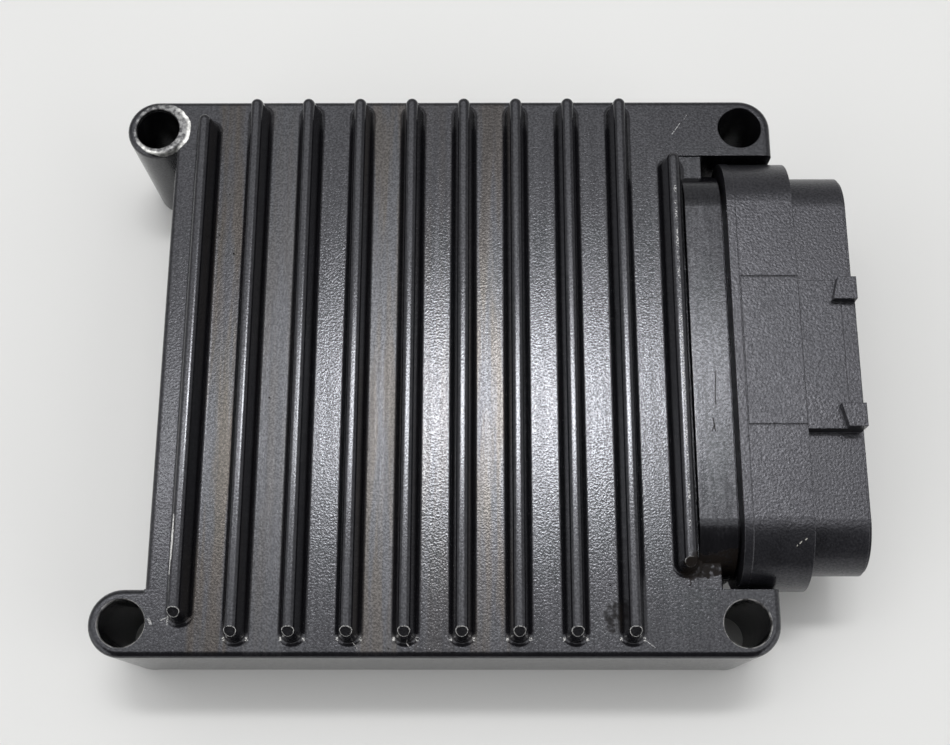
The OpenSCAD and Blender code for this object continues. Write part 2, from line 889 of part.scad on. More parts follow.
// Ferrite core with a wider cap on a square foot
module power_inductor() {
    color([0.2, 0.2, 0.21])
        translate([inductor_x, inductor_y, board_top]) {
            block([-inductor_l / 2, -inductor_l / 2, 0], [inductor_l / 2, inductor_l / 2, inductor_foot_h]);
            cylinder(r = inductor_neck_r, h = inductor_h);
            translate([0, 0, inductor_h - inductor_cap_h])
                cylinder(r = inductor_r, h = inductor_cap_h);
        }
}

module clock_crystal() {
    straight_l = crystal_l - crystal_w;
    color([0.75, 0.75, 0.77])
        translate([crystal_x, crystal_y, board_top])
            linear_extrude(height = crystal_h) {
                square([straight_l, crystal_w], center = true);
                for (side = [-1, 1])
                    translate([side * straight_l / 2, 0])
                        circle(r = crystal_w / 2);
            }
}

// Small block parts in a row along Y
module block_row(x, count, pitch, size) {
    for (i = [0 : count - 1])
        translate([x - size[0] / 2, (i - (count - 1) / 2) * pitch - size[1] / 2, board_top])
            cube(size);
}

module protection_diodes() {
    color([0.13, 0.13, 0.14])
        block_row(diode_x, diode_count, diode_pitch, [diode_l, diode_w, diode_h]);
}

module chip_resistors() {
    color([0.1, 0.1, 0.12])
        block_row(resistor_x, resistor_count, resistor_pitch, [resistor_l, resistor_w, resistor_h]);
}

module chip_capacitors() {
    color([0.6, 0.5, 0.38])
        block_row(small_cap_x, small_cap_count, small_cap_pitch, [small_cap_l, small_cap_w, small_cap_h]);
}

housing();
base_plate();
cover_seal();
cover_screws();
circuit_board();
board_screws();
connector_header();
connector_seal();
header_screws();
upper_pins();
middle_pins();
lower_pins();
microcontroller();
memory_chip();
driver_chips();
power_transistors();
thermal_pad();
voltage_regulator();
filter_capacitors();
power_inductor();
clock_crystal();
protection_diodes();
chip_resistors();
chip_capacitors();
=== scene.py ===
"""Looks of the finned engine control unit: worn black paint on the casting, grained plastic on the header,
plated metal, laminate and moulded parts inside, on a plain pale table in a softly lit room."""

import math

import bpy
from mathutils import Matrix, Vector


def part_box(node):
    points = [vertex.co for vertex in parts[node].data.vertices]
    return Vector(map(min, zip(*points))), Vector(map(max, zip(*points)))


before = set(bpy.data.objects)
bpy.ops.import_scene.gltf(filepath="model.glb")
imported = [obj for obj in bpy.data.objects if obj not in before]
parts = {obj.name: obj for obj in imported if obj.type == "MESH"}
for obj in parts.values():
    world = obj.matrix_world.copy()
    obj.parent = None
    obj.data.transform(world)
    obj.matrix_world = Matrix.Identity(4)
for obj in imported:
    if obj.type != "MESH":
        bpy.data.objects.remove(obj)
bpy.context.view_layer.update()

MM = 0.001

# Places on the part in millimetres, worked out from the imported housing
housing_low, housing_high = (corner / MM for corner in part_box("housing"))
RIB_TOP = housing_high.z
RIB_HEIGHT = 6.2
DECK_Z = RIB_TOP - RIB_HEIGHT
RIB_COUNT = 10
RIB_PITCH = 10.0
FIRST_RIB_X = housing_low.x + 16.4
LAST_RIB_X = FIRST_RIB_X + (RIB_COUNT - 1) * RIB_PITCH
NECK_X = LAST_RIB_X + 2.15
BOSS_RADIUS = 6.0
HOLE_RADIUS = 4.2
LEFT_HOLE_X = housing_low.x + BOSS_RADIUS
RIGHT_FRONT_HOLE_X = LEFT_HOLE_X + 110.75
HOLE_Y = housing_high.y - BOSS_RADIUS
WORN_BOSS_AT = (LEFT_HOLE_X + 0.9, HOLE_Y - 0.15, DECK_Z)

# Marks seen from above, in millimetres: where each stroke starts and ends, and its width
RIB_SIDE_SCRAPE = (
    ((-54.05, -29.9), (-54.05, -32.4), 0.16),
    ((-54.05, -32.4), (-54.15, -34.5), 0.3),
    ((-54.15, -34.5), (-54.25, -37.7), 0.36),
    ((-54.25, -37.7), (-54.3, -40.3), 0.2),
)
DECK_SCRATCHES = (
    ((37.6, 46.8), (39.2, 49.1), 0.1),
    ((40.0, 49.9), (40.7, 51.0), 0.06),
    ((28.9, -51.1), (30.6, -52.4), 0.1),
    ((-22.4, -51.6), (-21.7, -52.5), 0.12),
    ((-13.0, -51.7), (-12.4, -52.4), 0.12),
    ((-58.7, -47.5), (-58.3, -48.3), 0.3),
    ((-56.5, -47.7), (-55.3, -47.1), 0.14),
    ((-55.3, -47.1), (-55.4, -48.4), 0.2),
)
PAINT_CRACKS = (
    ((37.0, -39.7), (37.4, -40.8), 0.2),
    ((37.4, -40.8), (37.2, -41.5), 0.2),
    ((43.2, -2.7), (42.8, -7.4), 0.12),
    ((42.8, -7.4), (42.9, -9.1), 0.12),
    ((42.2, -11.7), (42.6, -14.3), 0.16),
    ((42.3, -13.0), (42.0, -14.1), 0.12),
)
RIB_FOOT_GRIME = ((37.8, -38.5), (45.8, -37.2), 3.0)
DECK_PATCH = ((23.5, -46.1), (23.7, -48.3), 2.5)
COLLAR_SCUFFS = (
    ((63.0, 2.8), (64.4, 2.0), 0.3),
    ((64.4, 2.0), (65.8, 1.4), 0.3),
    ((60.8, -1.8), (62.8, -1.4), 0.3),
    ((62.8, -1.4), (64.8, -0.5), 0.3),
    ((65.7, -8.0), (66.3, -8.5), 0.5),
    ((51.4, -35.6), (51.6, -37.2), 0.7),
)
COLLAR_SPECKS = (
    ((56.1, -34.8), (56.4, -34.5), 0.13),
    ((57.1, -34.2), (57.3, -34.0), 0.14),
    ((55.6, -35.2), (55.7, -35.1), 0.11),
)

# Channels between ribs, by how many ribs lie left of each, and how dull or how bronze each one is
DULL_CHANNELS = ((1, 0.5), (2, 1.0), (4, 1.0), (6, 0.4))
BRONZE_CHANNELS = ((1, 1.0), (2, 0.3), (4, 0.8), (6, 0.8), (5, 0.3))

# How soft the edges of each kind of piece look, in millimetres
HOUSING_EDGE = 0.25
SMALL_EDGE = 0.12
BEVEL_SAMPLES = 4

# How far leads reach out of moulded packages, in millimetres
CHIP_LEAD = 1.3
POWER_LEAD = 4.5
DIODE_LEAD = 0.5
NO_LEAD = -1.0

# The camera, solved from the picture's ribs and holes, in millimetres and degrees
IMAGE_SIZE = (950, 745)
CAMERA_AT = Vector((0.38, -74.0, 268.0))
CAMERA_TURN = 1.122
CAMERA_LEAN = 16.696
CAMERA_ROLL = -1.11
FOCAL_PIXELS = 1345.9
SENSOR_WIDTH = 36.0
NEAR_CLIP = 0.01

# The room's light, in radiance: a ceiling cone given by cosines from its middle, walls, a dimmer back, a dark
# front between two bright front corners, and one even band along the horizon
CEILING_MIDDLE = Vector((-0.17, 0.05, 0.98)).normalized()
CEILING_EDGE = (0.78, 0.87)
CEILING_LEVEL = 1.5
WALL_LEVEL = 0.8
BACK_EDGE = (0.2, 0.5)
BACK_LEVEL = 0.5
FRONT_EDGE = (-0.2, 0.06)
FRONT_LEVEL = 0.08
SIDE_EDGE = (0.42, 0.6)
SIDE_LEVEL = 1.6
HORIZON_EDGE = (0.03, 0.07)
HORIZON_LEVEL = 0.7

# Two soft lamps side by side, in metres and watts
LAMP_AIM = (0.0, 0.0, 0.03)
SOFTBOX_AT, SOFTBOX_SIZE, SOFTBOX_WATTS = (0.01, 0.305, 1.2), (0.35, 0.09), 3.0
TUBE_AT, TUBE_SIZE, TUBE_WATTS = (-0.05, 0.305, 1.21), (1.0, 0.09), 1.9
TABLE_WIDTH = 60.0


class Graph:
    """A node tree that starts empty, with short calls for the nodes used here."""

    def __init__(self, owner):
        owner.use_nodes = True
        self.tree = owner.node_tree
        self.tree.nodes.clear()

    def put(self, socket, value):
        if isinstance(value, bpy.types.NodeSocket):
            self.tree.links.new(value, socket)
        else:
            socket.default_value = value

    def node(self, kind, **inputs):
        made = self.tree.nodes.new("ShaderNode" + kind)
        for name, value in inputs.items():
            self.put(made.inputs[name.replace("_", " ")], value)
        return made

    def maths(self, operation, *values, clamp=False):
        made = self.node("Math")
        made.operation = operation
        made.use_clamp = clamp
        for socket, value in zip(made.inputs, values):
            self.put(socket, value)
        return made.outputs[0]

    def vector(self, operation, *values, **inputs):
        made = self.node("VectorMath")
        made.operation = operation
        for socket, value in zip(made.inputs, values):
            self.put(socket, value)
        for name, value in inputs.items():
            self.put(made.inputs[name], value)
        return made.outputs["Value" if operation in ("DOT_PRODUCT", "DISTANCE") else "Vector"]

    def ramp(self, value, start, end, low=0.0, high=1.0):
        """Smooth step of value: low before start, high after end."""
        made = self.node("MapRange")
        made.interpolation_type = "SMOOTHSTEP"
        for socket, number in zip(made.inputs, (value, start, end, low, high)):
            self.put(socket, number)
        return made.outputs[0]

    def all_of(self, *masks):
        result = masks[0]
        for mask in masks[1:]:
            result = self.maths("MULTIPLY", result, mask)
        return result

    def any_of(self, *masks):
        result = masks[0]
        for mask in masks[1:]:
            result = self.maths("MAXIMUM", result, mask)
        return result

    def blend(self, share, first, second):
        """First colour where share is nothing, second where it is one."""
        made = self.node("Mix")
        made.data_type = "RGBA"
        self.put(made.inputs["Factor"], share)
        for socket, colour in zip((made.inputs[6], made.inputs[7]), (first, second)):
            self.put(socket, colour if isinstance(colour, bpy.types.NodeSocket) else (*colour, 1.0))
        return made.outputs[2]


class Finish(Graph):
    """One material on object coordinates, with places in millimetres."""

    def __init__(self, name):
        self.material = bpy.data.materials.new(name)
        super().__init__(self.material)
        self.shader = self.node("BsdfPrincipled")
        self.node("OutputMaterial", Surface=self.shader.outputs[0])
        object_place = self.node("TexCoord").outputs["Object"]
        self.place = self.vector("SCALE", object_place, Scale=1 / MM)
        self.x, self.y, self.z = self.node("SeparateXYZ", Vector=self.place).outputs

    def shade(self, **inputs):
        for name, value in inputs.items():
            self.put(self.shader.inputs[name.replace("_", " ")], value)

    def noise(self, grains, detail=2.0, stretch=(1.0, 1.0, 1.0), shift=(0.0, 0.0, 0.0)):
        """Noise with so many grains to a millimetre."""
        place = self.vector("MULTIPLY_ADD", self.place, stretch, shift)
        return self.node("TexNoise", Vector=place, Scale=grains, Detail=detail).outputs[0]

    def flat_place(self):
        """Place as seen from above, without its height."""
        return self.vector("MULTIPLY", self.place, (1.0, 1.0, 0.0))

    def band(self, value, low, high, soft):
        """One while value is between low and high."""
        return self.all_of(self.ramp(value, low - soft, low), self.ramp(value, high, high + soft, 1.0, 0.0))

    def stroke(self, start, end, width):
        """One along a thin mark seen from above, from start to end."""
        run = Vector((*end, 0.0)) - Vector((*start, 0.0))
        from_start = self.vector("SUBTRACT", self.flat_place(), (*start, 0.0))
        along = self.vector("DOT_PRODUCT", from_start, run / run.length_squared)
        along = self.maths("MULTIPLY", along, 1.0, clamp=True)
        foot = self.vector("SCALE", run, Scale=along)
        return self.ramp(self.vector("DISTANCE", from_start, foot), width / 2, width, 1.0, 0.0)

    def strokes(self, marks):
        return self.any_of(*(self.stroke(*mark) for mark in marks))

    def rounded(self, radius):
        """Surface direction with edges softened, and how sharp the edge under it is."""
        made = self.node("Bevel", Radius=radius * MM)
        made.samples = BEVEL_SAMPLES
        facing = self.vector("DOT_PRODUCT", made.outputs[0], self.node("NewGeometry").outputs["Normal"])
        return made.outputs[0], self.maths("SUBTRACT", 1.0, facing)

    def bump(self, height, depth, normal=None):
        made = self.node("Bump", Height=height, Distance=depth * MM)
        if normal is not None:
            self.put(made.inputs["Normal"], normal)
        return made.outputs[0]


def scraped_paint_and_glints(paint, edge, sparkle, patchy, near_top):
    """Pale grey mask: paint worn at facet rims, hole edges, a crest, a rib's side, scratches; painted glints by
    the rib feet and a painted highlight on the facet rims.
    """
    # Facet rims: worn paint, and partly a painted edge highlight in pale grey
    facet_rim_wear_and_highlight = paint.all_of(
        paint.ramp(edge, 0.015, 0.05),
        paint.ramp(paint.z, DECK_Z + 2.6, DECK_Z + 3.2),
        paint.ramp(paint.y, -37.0, -36.5, 1.0, 0.0),
        paint.ramp(sparkle, 0.34, 0.5),
    )
    flat = paint.flat_place()
    hole_gap = paint.maths("MINIMUM", *(
        paint.vector("DISTANCE", flat, (hole_x, -HOLE_Y, 0.0)) for hole_x in (LEFT_HOLE_X, RIGHT_FRONT_HOLE_X)
    ))
    hole_rim = paint.all_of(
        paint.band(hole_gap, HOLE_RADIUS - 0.1, HOLE_RADIUS + 0.15, 0.08),
        near_top,
        paint.ramp(patchy, 0.35, 0.6, 0.04, 0.32),
    )
    crest_line = paint.all_of(
        paint.ramp(paint.z, RIB_TOP - 0.5, RIB_TOP - 0.2),
        paint.band(paint.x, LAST_RIB_X - 0.1, LAST_RIB_X + 0.1, 0.2),
        paint.band(paint.y, -30.0, 32.0, 4.0),
        paint.ramp(sparkle, 0.5, 0.6),
        paint.ramp(patchy, 0.42, 0.6),
    )
    side_line = paint.all_of(
        paint.strokes(RIB_SIDE_SCRAPE),
        paint.ramp(paint.z, DECK_Z + 3.0, DECK_Z + 4.0),
        paint.ramp(sparkle, 0.4, 0.48),
    )
    from_rib = paint.maths("PINGPONG", paint.maths("SUBTRACT", paint.x, FIRST_RIB_X), RIB_PITCH / 2)
    # Painted glints: pale dots beside each rib's front foot stand in for light caught in the foot fillets
    foot_glints = paint.all_of(
        paint.band(from_rib, 1.9, 2.2, 0.15),
        paint.band(paint.y, -51.2, -50.7, 0.15),
        paint.band(paint.x, FIRST_RIB_X + RIB_PITCH / 2, LAST_RIB_X - RIB_PITCH / 2, 1.0),
        paint.ramp(sparkle, 0.46, 0.56),
    )
    scratches = paint.all_of(paint.strokes(DECK_SCRATCHES), paint.ramp(sparkle, 0.38, 0.6, 0.0, 0.6), near_top)
    return paint.any_of(facet_rim_wear_and_highlight, hole_rim, crest_line, side_line, foot_glints, scratches)


def dirt_on_paint(paint, sparkle, on_deck):
    """Mask of dirt: round the last rib's front end, a patch on the deck, cracks, and pits in the paint."""
    grime = paint.maths("SUBTRACT", paint.noise(grains=0.9, detail=4.0), 0.5)
    rib_foot = paint.ramp(paint.maths("MULTIPLY_ADD", grime, 2.0, paint.stroke(*RIB_FOOT_GRIME)), 0.4, 1.1)
    deck_patch = paint.all_of(paint.stroke(*DECK_PATCH), on_deck, paint.ramp(grime, -0.15, 0.15, 0.3, 0.75))
    cracks = paint.all_of(paint.strokes(PAINT_CRACKS), paint.ramp(sparkle, 0.4, 0.5))
    dots = paint.node("TexVoronoi", Vector=paint.place, Scale=0.22)
    pits = paint.all_of(
        paint.ramp(dots.outputs["Distance"], 0.03, 0.055, 1.0, 0.0),
        paint.ramp(paint.noise(grains=0.12, detail=1.0), 0.5, 0.55),
        on_deck,
    )
    return paint.any_of(rib_foot, deck_patch, cracks, pits)


def channels(paint, on_deck, shares):
    """Mask of chosen channels between the ribs, each at its share."""
    chosen = []
    for ribs_left, share in shares:
        start, end = (FIRST_RIB_X + (ribs_left - back) * RIB_PITCH for back in (0.8, 0.2))
        chosen.append(paint.maths("MULTIPLY", paint.band(paint.x, start, end, 1.0), share))
    return paint.all_of(on_deck, paint.any_of(*chosen))


def painted_casting():
    """Black gloss paint on cast aluminium, rubbed through at a boss, the rib ends and a few scratches, with
    painted glints by the rib feet and painted highlights on the facet and boss rims.
    """
    paint = Finish("worn_black_paint")
    normal, edge = paint.rounded(HOUSING_EDGE)
    speckle = paint.noise(grains=2.6, detail=3.0)
    sparkle = paint.noise(grains=4.5, detail=2.0)
    streak = paint.noise(grains=1.4, detail=3.0, stretch=(1.0, 0.02, 1.0))
    patchy = paint.noise(grains=0.7, detail=4.0)
    on_deck = paint.band(paint.z, DECK_Z - 0.1, DECK_Z + 0.6, 0.4)
    near_top = paint.ramp(paint.z, DECK_Z - 1.1, DECK_Z - 0.7)
    scrapes_and_glints = scraped_paint_and_glints(paint, edge, sparkle, patchy, near_top)
    dirt = dirt_on_paint(paint, sparkle, on_deck)

    # Bare metal round the worn boss; its rim towards the front right is lighter, partly wear and partly a painted
    # highlight
    boss_gap = paint.vector("DISTANCE", paint.place, WORN_BOSS_AT)
    boss_gap = paint.maths("MULTIPLY_ADD", patchy, 0.7, boss_gap)
    worn_boss = paint.all_of(paint.ramp(boss_gap, 5.85, 6.05, 1.0, 0.0), near_top)
    diagonal = LEFT_HOLE_X - HOLE_Y
    boss_rim_wear_and_highlight = paint.all_of(
        paint.ramp(boss_gap, 5.0, 5.6),
        paint.ramp(paint.maths("SUBTRACT", paint.x, paint.y), diagonal - 2.0, diagonal + 2.0),
    )
    mottle = paint.ramp(paint.noise(grains=1.3, detail=3.0), 0.35, 0.65)
    metal = paint.blend(mottle, (0.06, 0.06, 0.063), (0.22, 0.22, 0.22))
    metal = paint.blend(paint.all_of(boss_rim_wear_and_highlight, paint.ramp(mottle, 0.0, 1.0, 0.5, 1.0)), metal, (0.62, 0.62, 0.60))

    # Channels differ in gloss and tint, and the neck beside the connector is stained
    dull = channels(paint, on_deck, DULL_CHANNELS)
    bronze = paint.all_of(
        channels(paint, on_deck, BRONZE_CHANNELS),
        paint.ramp(paint.noise(grains=0.5, detail=3.0, stretch=(1.0, 0.06, 1.0)), 0.4, 0.62),
    )
    neck = paint.all_of(
        paint.ramp(paint.x, NECK_X - 0.4, NECK_X),
        paint.band(paint.z, DECK_Z + 1.4, DECK_Z + 4.0, 0.5),
    )
    stain = paint.all_of(
        neck,
        paint.ramp(paint.noise(grains=1.1, detail=3.0, stretch=(1.0, 0.15, 1.0)), 0.45, 0.7),
    )

    colour = paint.blend(streak, (0.003, 0.003, 0.004), (0.008, 0.0075, 0.009))
    # Pale grey where paint is worn through, and for the painted glints and painted highlights
    colour = paint.blend(scrapes_and_glints, colour, (0.72, 0.71, 0.69))
    colour = paint.blend(dirt, colour, (0.010, 0.0075, 0.006))
    rough = paint.ramp(streak, 0.35, 0.65, 0.13, 0.18)
    for mask, change in ((dull, 0.14), (stain, 0.07), (dirt, 0.45), (worn_boss, 0.25), (scrapes_and_glints, 0.4)):
        rough = paint.maths("ADD", rough, paint.maths("MULTIPLY", mask, change))

    # The speckle is calmer on the ribs and the neck, and in dull channels
    calm = paint.maths("MULTIPLY", dull, 0.5)
    calm = paint.maths("SUBTRACT", paint.ramp(paint.z, DECK_Z + 0.8, DECK_Z + 2.0, 1.0, 0.45), calm)
    height = paint.maths("MULTIPLY_ADD", streak, 0.2, paint.maths("MULTIPLY", speckle, calm))
    shine = paint.ramp(speckle, 0.35, 0.65, 0.36, 0.62)
    paint.shade(
        Base_Color=paint.blend(worn_boss, colour, metal),
        Metallic=worn_boss,
        Roughness=rough,
        Normal=paint.bump(height, 0.03, normal),
        IOR=1.58,
        Specular_IOR_Level=paint.ramp(dirt, 0.0, 1.0, shine, 0.1),
        Specular_Tint=paint.blend(bronze, (0.915, 0.93, 1.0), (1.0, 0.92, 0.85)),
    )
    return paint.material


def grained_plastic():
    """Dark glass-filled plastic with a spark-eroded grain, scuffed on top, lighter along its edges from rubbing
    and from a painted edge highlight.
    """
    plastic = Finish("grained_plastic")
    normal, edge = plastic.rounded(HOUSING_EDGE)
    grain = plastic.noise(grains=2.2, detail=4.0)
    cloud = plastic.noise(grains=0.16, detail=4.0)
    flow = plastic.noise(grains=0.5, detail=3.0, stretch=(1.0, 0.12, 1.0))
    scuff = plastic.all_of(plastic.strokes(COLLAR_SCUFFS), plastic.ramp(grain, 0.4, 0.5))
    specks = plastic.strokes(COLLAR_SPECKS)
    # Lighter edges: rubbed plastic, and partly a painted edge highlight
    rubbed_edge_and_highlight = plastic.all_of(plastic.ramp(edge, 0.03, 0.2), plastic.ramp(grain, 0.35, 0.6))
    colour = plastic.blend(plastic.ramp(grain, 0.3, 0.7), (0.003, 0.003, 0.004), (0.009, 0.009, 0.011))
    colour = plastic.blend(plastic.all_of(cloud, flow), colour, (0.018, 0.018, 0.021))
    colour = plastic.blend(plastic.maths("MULTIPLY", rubbed_edge_and_highlight, 0.5), colour, (0.12, 0.12, 0.13))
    colour = plastic.blend(plastic.maths("MULTIPLY", scuff, 0.8), colour, (0.006, 0.006, 0.007))
    colour = plastic.blend(specks, colour, (0.36, 0.35, 0.32))
    shine = plastic.ramp(plastic.noise(grains=2.4, detail=4.0, shift=(3.0, 5.0, 7.0)), 0.35, 0.65, 0.36, 0.6)
    plastic.shade(
        Base_Color=colour,
        Roughness=plastic.ramp(cloud, 0.3, 0.7, 0.27, 0.32),
        Normal=plastic.bump(grain, 0.06, normal),
        IOR=1.59,
        Specular_IOR_Level=shine,
        Specular_Tint=(0.92, 0.92, 1.0, 1.0),
    )
    return plastic.material


def brushed_plate():
    """Plain sheet metal with a rolling grain, dull spots and rubbed edges."""
    sheet = Finish("rolled_sheet")
    normal, edge = sheet.rounded(HOUSING_EDGE)
    grain = sheet.noise(grains=2.5, detail=3.0, stretch=(0.05, 1.0, 1.0))
    spots = sheet.ramp(sheet.noise(grains=0.12, detail=6.0), 0.42, 0.78)
    colour = sheet.blend(grain, (0.36, 0.365, 0.37), (0.55, 0.555, 0.56))
    colour = sheet.blend(sheet.maths("MULTIPLY", spots, 0.5), colour, (0.28, 0.275, 0.265))
    colour = sheet.blend(sheet.ramp(edge, 0.05, 0.25), colour, (0.72, 0.72, 0.73))
    rough = sheet.ramp(spots, 0.0, 1.0, 0.34, 0.55)
    sheet.shade(Base_Color=colour, Roughness=rough, Normal=sheet.bump(grain, 0.02, normal), Metallic=1.0)
    return sheet.material


def rubber(name, dark, light):
    """Moulded seal rubber with dusty mottling."""
    seal = Finish(name)
    normal, _ = seal.rounded(SMALL_EDGE)
    dust = seal.noise(grains=0.6, detail=4.0)
    grain = seal.noise(grains=5.0, detail=2.0)
    seal.shade(Base_Color=seal.blend(dust, dark, light), Roughness=seal.ramp(dust, 0.3, 0.7, 0.62, 0.8))
    seal.shade(Normal=seal.bump(grain, 0.02, normal))
    return seal.material


def plated_steel(name, bright, tarnish):
    """Plated screw steel, tarnished in patches and polished along its edges."""
    steel = Finish(name)
    normal, edge = steel.rounded(SMALL_EDGE)
    patch = steel.noise(grains=0.9, detail=5.0)
    turning = steel.noise(grains=3.0, detail=2.0, stretch=(1.0, 1.0, 0.2))
    colour = steel.blend(steel.ramp(patch, 0.42, 0.68), bright, tarnish)
    colour = steel.blend(steel.ramp(edge, 0.05, 0.25), colour, (0.82, 0.81, 0.78))
    steel.shade(Base_Color=colour, Roughness=steel.ramp(patch, 0.3, 0.7, 0.24, 0.42), Metallic=1.0)
    steel.shade(Normal=steel.bump(turning, 0.015, normal))
    return steel.material


def board_laminate():
    """Green lacquer over copper tracks that run along the board, with bare edges of glass laminate."""
    board = Finish("green_laminate")
    low, high = (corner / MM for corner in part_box("circuit_board"))
    weave = board.noise(grains=2.2, detail=2.0)
    lanes = board.node("TexWave", Vector=board.place, Scale=0.21, Distortion=5.0, Detail=1.0)
    tracks = board.all_of(
        board.ramp(lanes.outputs[1], 0.62, 0.7),
        board.ramp(board.noise(grains=0.08, detail=1.0), 0.44, 0.5),
    )
    side = board.any_of(
        board.ramp(board.x, low.x + 0.02, low.x + 0.04, 1.0, 0.0),
        board.ramp(board.x, high.x - 0.04, high.x - 0.02),
        board.ramp(board.maths("ABSOLUTE", board.y), high.y - 0.04, high.y - 0.02),
    )
    colour = board.blend(weave, (0.010, 0.075, 0.030), (0.016, 0.105, 0.042))
    colour = board.blend(tracks, colour, (0.030, 0.19, 0.075))
    colour = board.blend(side, colour, (0.36, 0.33, 0.17))
    board.shade(Base_Color=colour, Roughness=board.ramp(side, 0.0, 1.0, 0.3, 0.75))
    board.shade(Normal=board.bump(board.maths("ADD", tracks, board.maths("MULTIPLY", weave, 0.15)), 0.03))
    return board.material


def contact_metal():
    """Tin-plated copper pins, a little streaky along their length."""
    pin = Finish("tinned_copper")
    normal, _ = pin.rounded(0.1)
    draw = pin.noise(grains=2.0, detail=3.0, stretch=(0.15, 1.0, 1.0))
    colour = pin.blend(draw, (0.58, 0.50, 0.34), (0.80, 0.74, 0.58))
    pin.shade(Base_Color=colour, Roughness=pin.ramp(draw, 0.3, 0.7, 0.22, 0.4), Metallic=1.0)
    pin.shade(Normal=pin.bump(draw, 0.01, normal))
    return pin.material


def moulded_chip(node, lead_reach_x, lead_reach_y):
    """Matt moulded package whose leads, outside the body's box, are tinned metal."""
    chip = Finish("moulded_" + node)
    low, high = (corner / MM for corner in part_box(node))
    normal, _ = chip.rounded(SMALL_EDGE)
    mould = chip.noise(grains=3.0, detail=3.0)
    cloud = chip.noise(grains=0.5, detail=3.0)
    from_middle = chip.vector("ABSOLUTE", chip.vector("SUBTRACT", chip.place, (low + high) / 2))
    half = (high - low) / 2
    apart_x, apart_y, _ = chip.node("SeparateXYZ", Vector=from_middle).outputs
    lead = chip.any_of(
        chip.maths("GREATER_THAN", apart_x, half.x - lead_reach_x + 0.01),
        chip.maths("GREATER_THAN", apart_y, half.y - lead_reach_y + 0.01),
    )
    body = chip.blend(cloud, (0.016, 0.016, 0.018), (0.032, 0.032, 0.035))
    tin = chip.blend(mould, (0.52, 0.52, 0.52), (0.74, 0.74, 0.73))
    chip.shade(Base_Color=chip.blend(lead, body, tin), Metallic=lead)
    chip.shade(Roughness=chip.ramp(lead, 0.0, 1.0, 0.6, 0.32), Normal=chip.bump(mould, 0.02, normal))
    return chip.material


def row_part(node, body_low, body_high, cap_reach):
    """Small ceramic block with tinned end caps along X."""
    block = Finish("capped_" + node)
    low, high = (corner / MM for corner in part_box(node))
    normal, _ = block.rounded(0.08)
    grain = block.noise(grains=3.0, detail=3.0)
    cap = block.any_of(
        block.maths("LESS_THAN", block.x, low.x + cap_reach),
        block.maths("GREATER_THAN", block.x, high.x - cap_reach),
    )
    tin = block.blend(grain, (0.55, 0.55, 0.54), (0.75, 0.75, 0.74))
    block.shade(Base_Color=block.blend(cap, block.blend(grain, body_low, body_high), tin), Metallic=cap)
    block.shade(Roughness=block.ramp(cap, 0.0, 1.0, 0.5, 0.3), Normal=block.bump(grain, 0.015, normal))
    return block.material


def pad_silicone():
    """Soft grey heat-conducting pad with a fine filler grain."""
    pad = Finish("filled_silicone")
    filler = pad.noise(grains=4.0, detail=4.0)
    pad.shade(Base_Color=pad.blend(filler, (0.40, 0.39, 0.37), (0.56, 0.55, 0.52)))
    pad.shade(Roughness=pad.ramp(filler, 0.3, 0.7, 0.7, 0.85), Normal=pad.bump(filler, 0.03))
    return pad.material


def drawn_can(node, foot_height):
    """Drawn aluminium can on a black plastic foot."""
    can = Finish("drawn_can_" + node)
    low, _ = (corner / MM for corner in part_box(node))
    normal, _ = can.rounded(0.2)
    draw = can.noise(grains=2.0, detail=3.0, stretch=(1.0, 1.0, 0.1))
    metal = can.ramp(can.z, low.z + foot_height, low.z + foot_height + 0.02)
    shell = can.blend(draw, (0.56, 0.57, 0.58), (0.76, 0.77, 0.78))
    foot = can.blend(draw, (0.012, 0.012, 0.013), (0.03, 0.03, 0.032))
    can.shade(Base_Color=can.blend(metal, foot, shell), Metallic=metal)
    can.shade(Roughness=can.ramp(metal, 0.0, 1.0, 0.55, 0.28), Normal=can.bump(draw, 0.015, normal))
    return can.material


def ferrite():
    """Fired ferrite core, dark grey and slightly porous."""
    core = Finish("fired_ferrite")
    normal, _ = core.rounded(0.2)
    pores = core.noise(grains=2.4, detail=5.0)
    core.shade(Base_Color=core.blend(pores, (0.035, 0.035, 0.037), (0.085, 0.085, 0.088)))
    core.shade(Roughness=core.ramp(pores, 0.3, 0.7, 0.5, 0.7), Normal=core.bump(pores, 0.05, normal))
    return core.material


def dress(material, *names):
    for name in names:
        for slot in parts[name].material_slots:
            slot.material = material


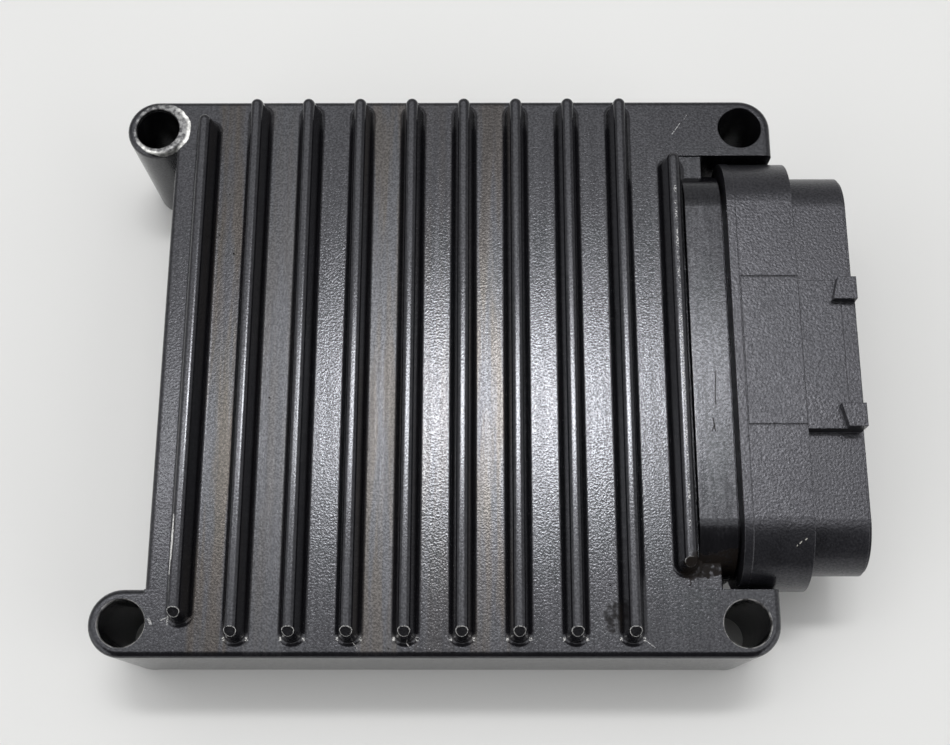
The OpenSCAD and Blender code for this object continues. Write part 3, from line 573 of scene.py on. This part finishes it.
def dress_all():
    dress(painted_casting(), "housing")
    dress(grained_plastic(), "connector_header")
    dress(brushed_plate(), "base_plate")
    dress(rubber("black_seal_rubber", (0.012, 0.012, 0.013), (0.035, 0.034, 0.033)), "cover_seal")
    dress(rubber("red_seal_rubber", (0.22, 0.045, 0.02), (0.32, 0.075, 0.035)), "connector_seal")
    dress(plated_steel("zinc_steel", (0.58, 0.59, 0.60), (0.36, 0.35, 0.33)), "cover_screws")
    yellow_zinc = plated_steel("yellow_zinc_steel", (0.62, 0.52, 0.30), (0.45, 0.36, 0.20))
    dress(yellow_zinc, "board_screws", "header_screws")
    dress(board_laminate(), "circuit_board")
    dress(contact_metal(), "upper_pins", "middle_pins", "lower_pins")
    for chip, lead_reach_x, lead_reach_y in (
        ("microcontroller", CHIP_LEAD, CHIP_LEAD),
        ("memory_chip", NO_LEAD, CHIP_LEAD),
        ("voltage_regulator", NO_LEAD, CHIP_LEAD),
        ("driver_chips", NO_LEAD, NO_LEAD),
        ("power_transistors", NO_LEAD, POWER_LEAD),
        ("protection_diodes", DIODE_LEAD, NO_LEAD),
    ):
        dress(moulded_chip(chip, lead_reach_x, lead_reach_y), chip)
    dress(pad_silicone(), "thermal_pad")
    dress(drawn_can("filter_capacitors", foot_height=1.4), "filter_capacitors")
    dress(drawn_can("clock_crystal", foot_height=0.0), "clock_crystal")
    dress(ferrite(), "power_inductor")
    dark_ceramic = (0.012, 0.012, 0.014), (0.03, 0.03, 0.033)
    tan_ceramic = (0.30, 0.21, 0.13), (0.42, 0.31, 0.20)
    dress(row_part("chip_resistors", *dark_ceramic, cap_reach=0.45), "chip_resistors")
    dress(row_part("chip_capacitors", *tan_ceramic, cap_reach=0.4), "chip_capacitors")


def set_camera():
    turn, lean, roll = (math.radians(angle) for angle in (CAMERA_TURN, CAMERA_LEAN, CAMERA_ROLL))
    level_right = Vector((math.cos(turn), math.sin(turn), 0.0))
    forward = Vector((-math.sin(turn) * math.sin(lean), math.cos(turn) * math.sin(lean), -math.cos(lean)))
    level_up = level_right.cross(forward)
    right = level_right * math.cos(roll) + level_up * math.sin(roll)
    up = level_up * math.cos(roll) - level_right * math.sin(roll)
    data = bpy.data.cameras.new("picture_camera")
    data.sensor_fit = "HORIZONTAL"
    data.sensor_width = SENSOR_WIDTH
    data.lens = FOCAL_PIXELS * SENSOR_WIDTH / IMAGE_SIZE[0]
    data.clip_start = NEAR_CLIP
    camera = bpy.data.objects.new("picture_camera", data)
    bpy.context.scene.collection.objects.link(camera)
    turned = Matrix((right, up, -forward)).transposed().to_4x4()
    camera.matrix_world = Matrix.Translation(CAMERA_AT * MM) @ turned
    bpy.context.scene.camera = camera


def lamp(name, place, size, watts):
    data = bpy.data.lights.new(name, "AREA")
    data.shape = "RECTANGLE"
    data.size, data.size_y = size
    data.energy = watts
    made = bpy.data.objects.new(name, data)
    bpy.context.scene.collection.objects.link(made)
    direction = Vector(LAMP_AIM) - Vector(place)
    turned = direction.to_track_quat("-Z", "Y").to_matrix().to_4x4()
    made.matrix_world = Matrix.Translation(Vector(place)) @ turned


def light_room():
    """A bright ceiling that leans to the left, pale walls, a dark front and an even horizon."""
    world = bpy.data.worlds.new("studio_room")
    bpy.context.scene.world = world
    room = Graph(world)
    direction = room.node("TexCoord").outputs["Generated"]
    across, depth, height = room.node("SeparateXYZ", Vector=direction).outputs
    front = room.ramp(depth, *FRONT_EDGE, 1.0, 0.0)
    sides = room.ramp(room.maths("ABSOLUTE", across), *SIDE_EDGE)
    walls = room.ramp(depth, *BACK_EDGE, WALL_LEVEL, BACK_LEVEL)
    walls = room.ramp(room.all_of(front, sides), 0.0, 1.0, walls, SIDE_LEVEL)
    ceiling = room.vector("DOT_PRODUCT", direction, CEILING_MIDDLE)
    level = room.ramp(ceiling, *CEILING_EDGE, walls, CEILING_LEVEL)
    level = room.maths("MULTIPLY", level, room.any_of(room.ramp(front, 0.0, 1.0, 1.0, FRONT_LEVEL), sides))
    level = room.ramp(height, *HORIZON_EDGE, HORIZON_LEVEL, level)
    background = room.node("Background", Color=(1.0, 1.0, 1.0, 1.0), Strength=level)
    room.node("OutputWorld", Surface=background.outputs[0])
    lamp("ceiling_softbox", SOFTBOX_AT, SOFTBOX_SIZE, SOFTBOX_WATTS)
    lamp("ceiling_tube", TUBE_AT, TUBE_SIZE, TUBE_WATTS)


def pale_table():
    bpy.ops.object.select_all(action="DESELECT")
    bpy.ops.mesh.primitive_plane_add(size=TABLE_WIDTH)
    floor = bpy.context.active_object
    floor.name = "pale_table"
    top = Finish("pale_table_top")
    cloud = top.noise(grains=0.01, detail=4.0)
    top.shade(Base_Color=top.blend(cloud, (0.725, 0.725, 0.715), (0.765, 0.765, 0.755)), Roughness=0.5)
    floor.data.materials.append(top.material)


dress_all()
set_camera()
light_room()
pale_table()
bpy.context.scene.view_settings.view_transform = "Standard"
